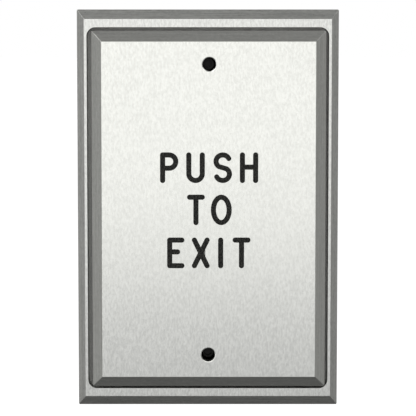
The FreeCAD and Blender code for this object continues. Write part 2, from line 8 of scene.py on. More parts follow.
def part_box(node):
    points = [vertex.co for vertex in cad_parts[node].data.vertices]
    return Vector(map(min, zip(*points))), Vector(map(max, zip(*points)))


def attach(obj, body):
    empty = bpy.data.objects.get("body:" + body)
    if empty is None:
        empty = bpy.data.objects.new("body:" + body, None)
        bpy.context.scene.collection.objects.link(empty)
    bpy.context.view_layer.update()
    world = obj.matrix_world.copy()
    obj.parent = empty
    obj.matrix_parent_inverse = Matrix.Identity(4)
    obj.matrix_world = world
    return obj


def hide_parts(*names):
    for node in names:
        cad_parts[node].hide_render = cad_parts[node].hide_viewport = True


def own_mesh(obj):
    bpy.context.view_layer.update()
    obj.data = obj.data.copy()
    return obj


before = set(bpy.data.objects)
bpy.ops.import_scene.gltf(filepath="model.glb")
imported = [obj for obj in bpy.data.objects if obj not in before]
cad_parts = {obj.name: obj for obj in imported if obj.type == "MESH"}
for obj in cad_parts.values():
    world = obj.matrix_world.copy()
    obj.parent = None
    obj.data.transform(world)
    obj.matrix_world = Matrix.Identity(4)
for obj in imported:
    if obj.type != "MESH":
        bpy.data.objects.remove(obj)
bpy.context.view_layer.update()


# The surround is milled from aluminium plate and clear anodised: mitred bevels, a flat land and a
# round-cornered pocket. Its brushing runs lengthways on the land and along each bevel, and every
# sharp edge is broken by hand.
class Number:
    """One output socket, written in sums like a number."""

    def __init__(self, sheet, socket):
        self.sheet = sheet
        self.socket = socket

    def work(self, operation, *terms):
        """Feeds the terms to a Math node and gives its result."""
        worked = self.sheet.add("ShaderNodeMath", {"operation": operation}, dict(enumerate(terms)))
        return worked["Value"]

    def __add__(self, other):
        return self.work("ADD", self, other)

    def __radd__(self, other):
        return self.work("ADD", other, self)

    def __sub__(self, other):
        return self.work("SUBTRACT", self, other)

    def __rsub__(self, other):
        return self.work("SUBTRACT", other, self)

    def __mul__(self, other):
        return self.work("MULTIPLY", self, other)

    def __abs__(self):
        return self.work("ABSOLUTE", self)

    def __gt__(self, other):
        return self.work("GREATER_THAN", self, other)


class Sheet:
    """A node tree that is being drawn, for a finish or for a shape."""

    def __init__(self, tree):
        self.tree = tree

    def add(self, kind, settings=None, sockets=None):
        """Adds a node, sets it, joins or fills its sockets, and gives its outputs by name."""
        node = self.tree.nodes.new(kind)
        for name, value in (settings or {}).items():
            if name == "stops":
                for position, _ in value[2:]:
                    node.color_ramp.elements.new(position)
                for stop, (position, colour) in zip(node.color_ramp.elements, value):
                    stop.position = position
                    stop.color = (*colour, 1)
            else:
                setattr(node, name, value)
        by_name = {socket.name: socket for socket in reversed(node.inputs)}
        by_name.update({socket.identifier: socket for socket in node.inputs})
        for name, value in (sockets or {}).items():
            socket = node.inputs[name] if isinstance(name, int) else by_name[name]
            self.join(value, socket)
        found = {socket.name: Number(self, socket) for socket in reversed(node.outputs)}
        found.update({socket.identifier: Number(self, socket) for socket in node.outputs})
        return found

    def join(self, value, socket):
        """Leads a number, or each of a list of numbers, to a socket, or fills it with a value."""
        if isinstance(value, Number):
            self.tree.links.new(value.socket, socket)
        elif isinstance(value, list):
            for part in value:
                self.join(part, socket)
        elif isinstance(value, tuple) and socket.type == "RGBA":
            socket.default_value = (*value, 1)
        else:
            socket.default_value = value


class Finish(Sheet):
    """The material of one finish, with Object coordinates and noise at hand."""

    def __init__(self, name, **constants):
        self.material = bpy.data.materials.new(name)
        self.material.use_nodes = True
        super().__init__(self.material.node_tree)
        self.surface = self.tree.nodes["Principled BSDF"]
        for socket, value in constants.items():
            self.set(socket.replace("_", " "), value)
        place = self.add("ShaderNodeTexCoord")
        self.place = place["Object"]
        self.facing = place["Normal"]

    def set(self, socket, value):
        self.join(value, self.surface.inputs[socket])

    def split(self, vector):
        parts = self.add("ShaderNodeSeparateXYZ", None, {"Vector": vector})
        return parts["X"], parts["Y"], parts["Z"]

    def noise(self, size, detail=2, roughness=0.5, stretch=(1, 1, 1), place=None):
        """Noise whose grains are `size` metres wide, longer along an axis by `stretch`."""
        scale = tuple(1 / (size * s) for s in stretch)
        terms = {0: place or self.place, 1: scale}
        spot = self.add("ShaderNodeVectorMath", {"operation": "MULTIPLY"}, terms)["Vector"]
        sockets = {"Vector": spot, "Scale": 1, "Detail": detail, "Roughness": roughness}
        return self.add("ShaderNodeTexNoise", None, sockets)["Fac"]

    def tint(self, amount, low, high):
        mix = {"Factor_Float": amount, "A_Color": low, "B_Color": high}
        return self.add("ShaderNodeMix", {"data_type": "RGBA"}, mix)["Result_Color"]

    def bump(self, height, depth, strength=1.0):
        raised = {"Height": height, "Distance": depth, "Strength": strength}
        self.set("Normal", self.add("ShaderNodeBump", None, raised)["Normal"])


STRAND_WIDTH = 0.00057
STRAND_CONTRAST = 2.8
HAIR_WIDTH = 0.00014
HAIR_CONTRAST = 1.4
STREAK_WIDTH = 0.00045
STREAK_CONTRAST = 2.6
CLOUD_WIDTH = 0.012
END_SLOPE = 0.3
FLAT_SLOPE = 0.9


def brushed_aluminium(name, low, high, roughness):
    """Anodised aluminium: scratches run along Z on sides and flats, and along X on both ends."""
    finish = Finish(name, Metallic=1.0)
    x, y, z = finish.split(finish.place)
    _, front, end = finish.split(finish.facing)
    on_end = abs(end) > END_SLOPE
    on_bevel = 1 - (abs(front) > FLAT_SLOPE)
    across = x + (z - x) * on_end
    along = z + (x - z) * on_end
    turned = finish.add("ShaderNodeCombineXYZ", None, {"X": across, "Y": y, "Z": along})["Vector"]
    mark = {"roughness": 0.6, "place": turned}
    strand = finish.noise(size=STRAND_WIDTH, detail=2, stretch=(1, 1, 2.1), **mark)
    hair = finish.noise(size=HAIR_WIDTH, detail=3, stretch=(1, 1, 24), **mark)
    cloud = finish.noise(size=CLOUD_WIDTH, detail=1)
    streak = finish.noise(size=STREAK_WIDTH, detail=2, stretch=(1, 1, 40), **mark) * on_bevel
    shade = (strand - 0.5) * (STRAND_CONTRAST - on_bevel) + (hair - 0.5) * HAIR_CONTRAST
    shade = shade + (streak - on_bevel * 0.5) * STREAK_CONTRAST + 0.5
    finish.set("Base Color", finish.tint(shade, low, high))
    rough = roughness + (strand - 0.5) * 0.05 + (hair - 0.5) * 0.1 + (cloud - 0.5) * 0.03
    finish.set("Roughness", rough)
    finish.bump(strand * 0.3 + hair * 0.7, depth=0.000003, strength=0.6)
    return finish.material


# Points nearer than these are one point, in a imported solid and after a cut
PACKED_GAP = 1e-7
SEAM_GAP = 3e-7
LEVEL_ANGLE = radians(0.3)
SHARP_ANGLE = radians(30)
SQUARE_ON = 0.9999
FLAT_AREA = 0.000002


def placed(name, mesh):
    """Puts a mesh into the scene as a piece."""
    piece = bpy.data.objects.new(name, mesh)
    bpy.context.scene.collection.objects.link(piece)
    return piece


def joined(node, name):
    """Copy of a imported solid, its loose triangles joined and its flat faces made whole."""
    shell = bmesh.new()
    shell.from_mesh(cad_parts[node].data)
    bmesh.ops.remove_doubles(shell, verts=shell.verts, dist=PACKED_GAP)
    bmesh.ops.dissolve_limit(shell, angle_limit=LEVEL_ANGLE, verts=shell.verts, edges=shell.edges)
    bmesh.ops.recalc_face_normals(shell, faces=shell.faces)
    mesh = bpy.data.meshes.new(name)
    shell.to_mesh(mesh)
    shell.free()
    mesh.shade_smooth()
    return placed(name, mesh)


def break_edges(piece, width, angle=25, soft_width=None, soft=None):
    """Rounds every sharp edge a little, and more where `soft` picks both ends of an edge."""
    widest = soft_width or width
    shell = bmesh.new()
    shell.from_mesh(piece.data)
    share = shell.edges.layers.float.new("bevel_weight_edge")
    for edge in shell.edges:
        if len(edge.link_faces) == 2 and edge.calc_face_angle() > radians(angle):
            picked = soft is not None and all(soft(*point.co) for point in edge.verts)
            edge[share] = 1.0 if picked else width / widest
    shell.to_mesh(piece.data)
    shell.free()
    rounding = piece.modifiers.new("edge_break", "BEVEL")
    rounding.limit_method = "WEIGHT"
    rounding.width = widest
    rounding.segments = 3 if soft else 2
    rounding.harden_normals = True


def settle(piece):
    """Turns a piece with modifiers into a plain mesh."""
    graph = bpy.context.evaluated_depsgraph_get()
    mesh = bpy.data.meshes.new_from_object(piece.evaluated_get(graph), depsgraph=graph)
    mesh.name = piece.name
    piece.modifiers.clear()
    piece.data = mesh


def close_seams(piece):
    """Joins points that a cut has left side by side."""
    shell = bmesh.new()
    shell.from_mesh(piece.data)
    bmesh.ops.remove_doubles(shell, verts=shell.verts, dist=SEAM_GAP)
    shell.to_mesh(piece.data)
    shell.free()


def even_shading(piece, flat_area=FLAT_AREA):
    """Shades each flat as flat and each round as round, after a cut."""
    close_seams(piece)
    for face in piece.data.polygons:
        if face.area > flat_area or face.normal.y < -SQUARE_ON:
            face.use_smooth = False
    piece.data.set_sharp_from_angle(angle=SHARP_ANGLE)
    even = piece.modifiers.new("even_shading", "WEIGHTED_NORMAL")
    even.keep_sharp = True
    settle(piece)


MILL_LANE = 0.012
MILL_RADIUS = 0.0075
MILL_FEED = 0.0009
SWARF_WIDTH = 0.0004
LANE_STEP_WIDTH = 0.02
EDGE_BREAK = 0.0002
RIM_ROUNDING = 0.00035
LAND_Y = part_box("mounting_frame")[0].y
POCKET_REACH = (0.03465, 0.0521)
BACK_SLOPE = 0.7
TOUCH = 1e-6

surround_finish = brushed_aluminium(
    "anodised_surround", low=(0.754, 0.76, 0.725), high=(0.966, 0.972, 0.93), roughness=0.30
)

# Behind the land the metal is left as the cutter leaves it, in lanes of shallow arcs. Its grey
# is set darker than bare milled aluminium, as painted shade for the pocket seen through the gap
# round the plate, and this darkens the back as well.
milled_painted_shade = Finish("as_milled_aluminium", Metallic=1.0)
x, y, z = milled_painted_shade.split(milled_painted_shade.place)
in_lane = x.work("WRAP", x, MILL_LANE / 2, -MILL_LANE / 2)
swing = x.work("SQRT", MILL_RADIUS * MILL_RADIUS - in_lane * in_lane)
swarf = milled_painted_shade.noise(size=SWARF_WIDTH, detail=3)
turn = (z + y - swing) * (2 * pi / MILL_FEED) + swarf * 1.5
sweep = x.work("SINE", turn)
fine_sweep = x.work("SINE", turn * 3.0)
lane_step = milled_painted_shade.noise(size=LANE_STEP_WIDTH, detail=1, roughness=0.5, stretch=(0.6, 1, 100))
worn = swarf * 0.35 + (sweep * 0.5 + 0.5) * 0.25
worn = worn + (fine_sweep * 0.5 + 0.5) * 0.1 + lane_step * 0.3
# Both greys are set low as painted shade for the pocket, under the tool marks that vary them
milled_painted_shade.set("Base Color", milled_painted_shade.tint(worn, (0.40, 0.40, 0.385), (0.61, 0.61, 0.59)))
milled_painted_shade.set("Roughness", 0.56 + (swarf - 0.5) * 0.12 + sweep * 0.03)
milled_painted_shade.bump(sweep * 0.4 + fine_sweep * 0.15 + swarf * 0.45, depth=0.00002)


def on_land_edge(x, y, z):
    return abs(y - LAND_Y) < TOUCH


surround = joined("mounting_frame", "milled_surround")
break_edges(surround, EDGE_BREAK, soft_width=RIM_ROUNDING, soft=on_land_edge)
settle(surround)
even_shading(surround)
surround.data.materials.append(surround_finish)
surround.data.materials.append(milled_painted_shade.material)
for face in surround.data.polygons:
    x, y, z = face.center
    inside = abs(x) < POCKET_REACH[0] and abs(z) < POCKET_REACH[1]
    in_pocket = inside and y > LAND_Y + RIM_ROUNDING
    face.material_index = int(in_pocket or face.normal.y > BACK_SLOPE)
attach(surround, "base")
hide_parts("mounting_frame")


# The push plate is cut from flat aluminium bar. Its ends and sides are bevelled on a mill, the
# face is brushed lengthways, and the legend is cut with a ball-nosed tool along single strokes.
FACE_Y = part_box("push_plate")[0].y
FACE_REACH = (0.0315, 0.0485)
OUTLINE_WIDTH = 0.002
FACE_ROUNDING = 0.00028
HOLE_RADIUS = 0.00197
HOLE_PLACES = [(0.00011, -0.04177), (0.00043, 0.04157)]
HOLE_SIDES = 72
DEBURRED_WIDTH = 0.0002
DEBURRED_DEPTH = 0.00008
ENGRAVER_RADIUS = 0.00074
ENGRAVER_SIDES = 24
NOSE_RINGS = 13
NOSE_EXCESS = 1.002
ARC_STEPS = 16
ALONG_Y = (-pi / 2, 0, 0)


def arc(centre, size, start, end):
    """Points along part of an ellipse, angles in degrees."""
    turns = [radians(start + (end - start) * i / ARC_STEPS) for i in range(ARC_STEPS + 1)]
    return [(centre[0] + size[0] * cos(t), centre[1] + size[1] * sin(t)) for t in turns]


# Each stroke is a run of points (x, z) on the face, in millimetres
ROW_1 = (8.51, 15.81)
ROW_2 = (-3.56, 3.72)
ROW_3 = (-15.97, -8.59)
strokes = [
    [(-12.90, ROW_1[0]), (-12.90, ROW_1[1])],
    [(-12.90, ROW_1[1])] + arc((-11.04, 13.915), (1.90, 1.895), 90, -90) + [(-12.90, 12.02)],
    [(-5.43, ROW_1[1])] + arc((-3.51, 10.43), (1.92, 1.92), 180, 360) + [(-1.59, ROW_1[1])],
    arc((4.25, 13.985), (1.92, 1.825), 26, 235) + arc((4.25, 10.335), (1.92, 1.825), 55, -154),
    [(9.86, ROW_1[0]), (9.86, ROW_1[1])],
    [(9.86, 12.33), (13.64, 12.33)],
    [(13.64, ROW_1[0]), (13.64, ROW_1[1])],
    [(-5.21, ROW_2[1]), (-1.59, ROW_2[1])],
    [(-3.40, ROW_2[1]), (-3.40, ROW_2[0])],
    arc((3.845, 0.08), (2.255, 3.64), 90, 270),
    arc((3.845, 0.08), (2.255, 3.64), 270, 450),
    [(-10.92, ROW_3[0]), (-10.92, ROW_3[1])],
    [(-10.92, ROW_3[1]), (-7.43, ROW_3[1])],
    [(-10.92, -11.99), (-8.66, -11.99)],
    [(-10.92, ROW_3[0]), (-7.43, ROW_3[0])],
    [(-3.85, ROW_3[1]), (-0.22, ROW_3[0])],
    [(-3.85, ROW_3[0]), (-0.22, ROW_3[1])],
    [(3.67, ROW_3[0]), (3.67, ROW_3[1])],
    [(7.81, ROW_3[1]), (11.47, ROW_3[1])],
    [(9.64, ROW_3[1]), (9.64, ROW_3[0])],
]


class Shape(Sheet):
    """A geometry tree with named sizes, which ends in plain geometry of one material."""

    def __init__(self, name, material, **sizes):
        super().__init__(bpy.data.node_groups.new(name, "GeometryNodeTree"))
        self.material = material
        self.sizes = sizes
        face = self.tree.interface
        face.new_socket("Geometry", in_out="INPUT", socket_type="NodeSocketGeometry")
        face.new_socket("Geometry", in_out="OUTPUT", socket_type="NodeSocketGeometry")
        for size, value in sizes.items():
            kind = "NodeSocketInt" if isinstance(value, int) else "NodeSocketFloat"
            face.new_socket(size, in_out="INPUT", socket_type=kind)
        self.given = self.add("NodeGroupInput")

    def end(self, geometry):
        whole = self.add("GeometryNodeRealizeInstances", None, {"Geometry": geometry})["Geometry"]
        dressed = {"Geometry": whole, "Material": self.material}
        done = self.add("GeometryNodeSetMaterial", None, dressed)["Geometry"]
        self.add("NodeGroupOutput", None, {"Geometry": done})

    def make(self, piece):
        """Runs the tree on a piece and keeps what it makes."""
        maker = piece.modifiers.new(self.tree.name, "NODES")
        maker.node_group = self.tree
        for socket in self.tree.interface.items_tree:
            if socket.in_out == "INPUT" and socket.name in self.sizes:
                maker[socket.identifier] = self.sizes[socket.name]
        settle(piece)
        return piece


def drawn(name, points, edges=(), faces=()):
    """A piece drawn from its points."""
    mesh = bpy.data.meshes.new(name)
    mesh.from_pydata(points, edges, faces)
    return placed(name, mesh)


def stroke_lines(name):
    """The strokes as bare edges on the face of the plate."""
    points = []
    edges = []
    for stroke in strokes:
        edges += [(len(points) + i, len(points) + i + 1) for i in range(len(stroke) - 1)]
        points += [(x / 1000, FACE_Y, z / 1000) for x, z in stroke]
    return drawn(name, points, edges)


def engraver(name, material):
    """Tree that runs a ball-nosed cutter along every stroke."""
    shape = Shape(name, material, Radius=ENGRAVER_RADIUS, Sides=ENGRAVER_SIDES)
    line = shape.add("GeometryNodeMeshToCurve", None, {"Mesh": shape.given["Geometry"]})["Curve"]
    round_tool = {"Resolution": shape.given["Sides"], "Radius": shape.given["Radius"]}
    profile = shape.add("GeometryNodeCurvePrimitiveCircle", None, round_tool)["Curve"]
    tube = {"Curve": line, "Profile Curve": profile, "Fill Caps": True}
    grooves = shape.add("GeometryNodeCurveToMesh", None, tube)["Mesh"]
    ball = {
        "Segments": shape.given["Sides"], "Rings": NOSE_RINGS,
        "Radius": shape.given["Radius"] * NOSE_EXCESS,
    }
    nose = shape.add("GeometryNodeMeshUVSphere", None, ball)["Mesh"]
    ends = shape.add("GeometryNodeCurveEndpointSelection")["Selection"]
    set_down = {"Points": line, "Selection": ends, "Instance": nose}
    noses = shape.add("GeometryNodeInstanceOnPoints", None, set_down)["Instances"]
    both = shape.add("GeometryNodeJoinGeometry", None, {"Geometry": [grooves, noses]})
    return shape, both["Geometry"]


def on_face_outline(x, y, z):
    beside = abs(x) > FACE_REACH[0] - OUTLINE_WIDTH
    above = abs(z) > FACE_REACH[1] - OUTLINE_WIDTH
    return abs(y - FACE_Y) < TOUCH and (beside or above)


def add_deburring_cones(tool):
    """Adds two shallow cones, which take the burr off the mouths of the key holes."""
    shell = bmesh.new()
    shell.from_mesh(tool.data)
    over = 0.0001
    slope = DEBURRED_WIDTH / DEBURRED_DEPTH
    wide = HOLE_RADIUS + DEBURRED_WIDTH + over * slope
    narrow = HOLE_RADIUS - over * slope
    height = DEBURRED_DEPTH + 2 * over
    laid = Matrix.Rotation(ALONG_Y[0], 4, "X")
    for x, z in HOLE_PLACES:
        middle = Matrix.Translation((x, FACE_Y - over + height / 2, z))
        bmesh.ops.create_cone(
            shell, cap_ends=True, segments=HOLE_SIDES, radius1=wide, radius2=narrow,
            depth=height, matrix=middle @ laid,
        )
    shell.to_mesh(tool.data)
    shell.free()


plate_finish = brushed_aluminium(
    "brushed_plate", low=(0.835, 0.842, 0.796), high=(0.985, 0.992, 0.94), roughness=0.20
)
plate = joined("push_plate", "engraved_push_plate")
break_edges(plate, EDGE_BREAK, soft_width=FACE_ROUNDING, soft=on_face_outline)
settle(plate)
cutter_shape, cutter_path = engraver("engraving_strokes", plate_finish)
cutter_shape.end(cutter_path)
cutter = cutter_shape.make(stroke_lines("engraving_cutter"))
add_deburring_cones(cutter)
cut = plate.modifiers.new("engraving", "BOOLEAN")
cut.object = cutter
cut.solver = "EXACT"
cut.use_self = True
settle(plate)
bpy.data.objects.remove(cutter)
even_shading(plate)
plate.data.materials.clear()
plate.data.materials.append(plate_finish)
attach(plate, "plate")
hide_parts("push_plate")


# The legend is filled with black enamel, which is wiped into the engraved strokes and baked. It
# shrinks as it bakes, so it lies a little below the face of the plate.
ENAMEL_SUNK = 0.00007
ENAMEL_THICKNESS = 0.0004
ENAMEL_REACH = 0.03

enamel = Finish("legend_enamel", Specular_IOR_Level=0.22)
fleck = enamel.noise(size=0.00045, detail=3)
flecked = enamel.tint((fleck - 0.5) * 4.0 + 0.35, (0.001, 0.001, 0.001), (0.036, 0.037, 0.030))
enamel.set("Base Color", flecked)
enamel.set("Roughness", 0.42 + (fleck - 0.5) * 0.2)
enamel.bump(fleck, depth=0.000006)

fill_shape, fill_path = engraver("enamel_strokes", enamel.material)
slab_low = Vector((-ENAMEL_REACH, FACE_Y + ENAMEL_SUNK, -ENAMEL_REACH))
slab_size = Vector((2 * ENAMEL_REACH, ENAMEL_THICKNESS, 2 * ENAMEL_REACH))
slab = fill_shape.add("GeometryNodeMeshCube", None, {"Size": slab_size})["Mesh"]
move = {"Geometry": slab, "Translation": slab_low + slab_size / 2}
slab = fill_shape.add("GeometryNodeTransform", None, move)["Geometry"]
path = fill_shape.add("GeometryNodeRealizeInstances", None, {"Geometry": fill_path})["Geometry"]
meet = fill_shape.add(
    "GeometryNodeMeshBoolean",
    {"operation": "INTERSECT", "solver": "EXACT"},
    {"Mesh 2": [slab, path], "Self Intersection": True},
)
fill_shape.end(meet["Mesh"])
legend = fill_shape.make(stroke_lines("legend_enamel"))
close_seams(legend)
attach(legend, "plate")


# Guide pins and lever pin are ground from bright steel, and the rivets are headed from it. Rings,
# lever and leaf springs are stamped from hardened strip, which is darker and shows its rolling.
STAIN_WIDTH = 0.003


def plain_steel(name, low, high, roughness, grain, stretch):
    """Bare steel with fine marks and faint stains."""
    finish = Finish(name, Metallic=1.0)
    marks = finish.noise(size=grain, detail=3, roughness=0.6, stretch=stretch)
    stain = finish.noise(size=STAIN_WIDTH, detail=2)
    finish.set("Base Color", finish.tint(marks * 0.5 + stain * 0.5, low, high))
    finish.set("Roughness", roughness + (marks - 0.5) * 0.15 + (stain - 0.5) * 0.1)
    finish.bump(marks, depth=0.000003)
    return finish.material


def dress(material, *nodes):
    for node in nodes:
        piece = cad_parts[node]
        piece.data.materials.clear()
        piece.data.materials.append(material)


ground_steel = plain_steel(
    "ground_steel", low=(0.50, 0.50, 0.50), high=(0.66, 0.66, 0.66), roughness=0.22,
    grain=0.00012, stretch=(1, 0.4, 1),
)
spring_steel = plain_steel(
    "spring_steel", low=(0.36, 0.36, 0.38), high=(0.50, 0.50, 0.52), roughness=0.3,
    grain=0.0001, stretch=(1, 1, 12),
)
dress(ground_steel, "guide_pins", "lever_pin", "spring_rivets")
dress(spring_steel, "retaining_rings")


def soften(node, name, material, body, width):
    """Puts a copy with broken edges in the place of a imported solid."""
    piece = joined(node, name)
    piece.data.materials.append(material)
    break_edges(piece, width)
    settle(piece)
    even_shading(piece)
    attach(piece, body)
    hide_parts(node)


soften("switch_lever", "pressed_lever", spring_steel, "lever", width=0.00006)

# The two leaf springs flatten towards the floor when the plate comes down on them. Here they are
# a copy of the imported solid, with a mesh of its own
leaves = joined("return_springs", "leaf_springs")
leaves.data.materials.append(spring_steel)
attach(leaves, "base")
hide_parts("return_springs")
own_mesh(leaves)


# The bushings are moulded from natural nylon, which looks slightly milky, and are pressed into the
# floor. The stops are plain buttons of black rubber, glued down near the corners of the pocket.
nylon = Finish("natural_nylon", Subsurface_Weight=0.15, Subsurface_Scale=0.0006)
mottle = nylon.noise(size=0.0006, detail=2)
nylon.set("Base Color", nylon.tint(mottle, (0.80, 0.79, 0.73), (0.88, 0.87, 0.82)))
nylon.set("Roughness", 0.38 + (mottle - 0.5) * 0.15)
nylon.bump(mottle, depth=0.00001)
dress(nylon.material, "guide_bushings")

rubber = Finish("stop_rubber")
grit = rubber.noise(size=0.00015, detail=3)
rubber.set("Base Color", rubber.tint(grit, (0.020, 0.020, 0.020), (0.045, 0.045, 0.045)))
rubber.set("Roughness", 0.75 + (grit - 0.5) * 0.2)
rubber.bump(grit, depth=0.00002)
dress(rubber.material, "stop_bumpers")


# The two box screws are of black-oxide steel, with a button head and hexagon socket, a turned
# neck and a rolled thread. They pass through the floor into the lugs of the wall box.
THREAD_PITCH = 0.000794
THREAD_CREST = 0.00175
THREAD_ROOT = 0.00130
THREAD_START = -0.0002
RIDGE_SHARE = 0.95
STEPS_PER_TURN = 28
SHANK_INSIDE = 0.00125
SCREW_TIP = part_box("mounting_screws")[1].y
SCREW_Z = 0.04167

black_oxide = Finish("black_oxide", Metallic=1.0)
bloom = black_oxide.noise(size=0.0004, detail=3)
bloomed = black_oxide.tint(bloom, (0.008, 0.008, 0.009), (0.030, 0.030, 0.028))
black_oxide.set("Base Color", bloomed)
black_oxide.set("Roughness", 0.36 + (bloom - 0.5) * 0.25)
black_oxide.bump(bloom, depth=0.000005)


def helix(name, material, crest, root, pitch, start, end, places):
    """Winds a V-shaped ridge round each screw, from `start` to `end` along Y."""
    ridge = (crest - root) * RIDGE_SHARE
    turns = (end - start) / pitch
    shape = Shape(name, material, Turns=turns, Height=end - start, Path=crest - ridge, Ridge=ridge)
    spiral = {
        "Resolution": STEPS_PER_TURN,
        "Rotations": shape.given["Turns"], "Height": shape.given["Height"],
        "Start Radius": shape.given["Path"], "End Radius": shape.given["Path"],
    }
    path = shape.add("GeometryNodeCurveSpiral", None, spiral)["Curve"]
    section = {"Resolution": 3, "Radius": shape.given["Ridge"]}
    profile = shape.add("GeometryNodeCurvePrimitiveCircle", None, section)["Curve"]
    wound = {"Curve": path, "Profile Curve": profile, "Fill Caps": True}
    thread = shape.add("GeometryNodeCurveToMesh", None, wound)["Mesh"]
    laid = {"Geometry": thread, "Translation": (0, start, 0), "Rotation": ALONG_Y}
    thread = shape.add("GeometryNodeTransform", None, laid)["Geometry"]
    on = {"Points": shape.given["Geometry"], "Instance": thread}
    shape.end(shape.add("GeometryNodeInstanceOnPoints", None, on)["Instances"])
    return shape.make(drawn(name, places))


screws = joined("mounting_screws", "box_screws")
for point in screws.data.vertices:
    side = 1 if point.co.z > 0 else -1
    reach = Vector((point.co.x, 0, point.co.z - side * SCREW_Z))
    if point.co.y > THREAD_START - TOUCH and reach.length > SHANK_INSIDE:
        point.co -= reach * (1 - THREAD_ROOT / THREAD_CREST)
screws.data.materials.append(black_oxide.material)
break_edges(screws, width=0.00008, angle=40)
settle(screws)
threads = helix(
    "box_screw_threads", black_oxide.material, THREAD_CREST, THREAD_ROOT, THREAD_PITCH,
    start=THREAD_START + THREAD_PITCH / 2, end=SCREW_TIP - THREAD_PITCH / 2,
    places=[(0, 0, -SCREW_Z), (0, 0, SCREW_Z)],
)
for piece in (screws, threads):
    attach(piece, "base")
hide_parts("mounting_screws")


# The striker is a 3 mm steel screw with a domed tip, which pushes the lever of the switch. It is
# screwed into the middle of the plate from behind, and a chamfered nut locks it there.
FINE_PITCH = 0.0005
FINE_CREST = 0.0015
FINE_ROOT = 0.00122
THREAD_RUNOUT = 0.0006
NUT_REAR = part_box("striker_locknut")[1].y
STRIKER_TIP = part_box("striker_screw")[1].y

striker = joined("striker_screw", "threaded_striker")
for point in striker.data.vertices:
    point.co.x *= FINE_ROOT / FINE_CREST
    point.co.z *= FINE_ROOT / FINE_CREST
striker.data.materials.append(ground_steel)
striker_thread = helix(
    "striker_thread", ground_steel, FINE_CREST, FINE_ROOT, FINE_PITCH,
    start=NUT_REAR - 4 * FINE_PITCH, end=STRIKER_TIP - THREAD_RUNOUT, places=[(0, 0, 0)],
)
locknut = joined("striker_locknut", "chamfered_locknut")
locknut.data.materials.append(ground_steel)
break_edges(locknut, width=0.00012)
settle(locknut)
for piece in (striker, striker_thread, locknut):
    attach(piece, "plate")
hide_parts("striker_screw")
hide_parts("striker_locknut")


# The washers are punched from red vulcanised fibre sheet and pushed over the necks of the box
# screws behind the floor, where they keep the screws from falling out.
fibre = Finish("vulcanised_fibre")
strand = fibre.noise(size=0.00018, detail=4, roughness=0.65, stretch=(4, 1, 1))
fibre.set("Base Color", fibre.tint(strand, (0.30, 0.055, 0.035), (0.52, 0.14, 0.09)))
fibre.set("Roughness", 0.62 + (strand - 0.5) * 0.2)
fibre.bump(strand, depth=0.00001)
dress(fibre.material, "screw_retainers")


# The snap switch: case and cover are moulded from black thermoset and held by the two long screws,
# the plunger is moulded red, and three tabs are stamped from rolled brass and set into the case.
PANEL_DEPTH = 0.00015
PANEL_SIZE = (0.0122, 0.0138)
COVER_LOW, COVER_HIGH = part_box("switch_cover")

thermoset = Finish("black_thermoset")
filler = thermoset.noise(size=0.00012, detail=3, roughness=0.6)
flow = thermoset.noise(size=0.004, detail=2)
mixed = thermoset.tint(filler * 0.6 + flow * 0.4, (0.018, 0.018, 0.018), (0.045, 0.044, 0.043))
thermoset.set("Base Color", mixed)
thermoset.set("Roughness", 0.36 + (flow - 0.5) * 0.2 + (filler - 0.5) * 0.08)
thermoset.bump(filler, depth=0.000006)


def sink_panel(cover):
    """Sinks the shallow field that such covers have between their two screws."""
    shell = bmesh.new()
    middle = (COVER_LOW + COVER_HIGH) / 2
    middle.x = COVER_LOW.x
    size = Matrix.Diagonal((2 * PANEL_DEPTH, *PANEL_SIZE, 1))
    bmesh.ops.create_cube(shell, size=1, matrix=Matrix.Translation(middle) @ size)
    mesh = bpy.data.meshes.new("panel_block")
    shell.to_mesh(mesh)
    shell.free()
    block = placed("panel_block", mesh)
    field = cover.modifiers.new("panel", "BOOLEAN")
    field.object = block
    field.solver = "EXACT"
    settle(cover)
    bpy.data.objects.remove(block)


for node in ("switch_case", "switch_cover"):
    moulding = joined(node, node + "_moulding")
    if node == "switch_cover":
        sink_panel(moulding)
    break_edges(moulding, width=0.00012, angle=30)
    settle(moulding)
    even_shading(moulding)
    moulding.data.materials.clear()
    moulding.data.materials.append(thermoset.material)
    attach(moulding, "base")
    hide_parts(node)

acetal = Finish("red_acetal", Subsurface_Weight=0.1, Subsurface_Scale=0.0004)
swirl = acetal.noise(size=0.0005, detail=2)
acetal.set("Base Color", acetal.tint(swirl, (0.42, 0.030, 0.024), (0.55, 0.055, 0.042)))
acetal.set("Roughness", 0.32 + (swirl - 0.5) * 0.15)
acetal.bump(swirl, depth=0.000006)
soften(
    "switch_plunger", "moulded_plunger", acetal.material, "plunger", width=0.00008
)

brass = Finish("rolled_brass", Metallic=1.0)
rolled = brass.noise(size=0.00012, detail=3, roughness=0.6, stretch=(1, 14, 1))
tarnish = brass.noise(size=0.0015, detail=2)
tarnished = brass.tint(rolled * 0.4 + tarnish * 0.6, (0.66, 0.50, 0.22), (0.84, 0.70, 0.38))
brass.set("Base Color", tarnished)
brass.set("Roughness", 0.28 + (tarnish - 0.5) * 0.15)
brass.bump(rolled, depth=0.000003)
for node in ("common_terminal", "normally_closed_terminal", "normally_open_terminal"):
    soften(node, node + "_blade", brass.material, "base", width=0.00008)


# The bracket is folded from zinc-plated strip. Two countersunk screws hold it behind the floor,
# and two pan-head screws with nuts clamp the switch to it.
SPANGLES_PER_METRE = 900

zinc = Finish("zinc_plate", Metallic=1.0)
grid = {"Vector": zinc.place, "Scale": SPANGLES_PER_METRE}
spangle = zinc.add("ShaderNodeTexVoronoi", {"feature": "F1"}, grid)
cloudy = zinc.noise(size=0.002, detail=3)
facet = zinc.split(spangle["Color"])[0]
plated = zinc.tint(facet * 0.35 + cloudy * 0.65, (0.54, 0.56, 0.60), (0.72, 0.73, 0.74))
zinc.set("Base Color", plated)
zinc.set("Roughness", 0.30 + facet * 0.10 + (cloudy - 0.5) * 0.15)
zinc.bump(cloudy, depth=0.000006)
soften("switch_bracket", "folded_bracket", zinc.material, "base", width=0.00012)
soften("switch_nuts", "chamfered_nuts", ground_steel, "base", width=0.00015)

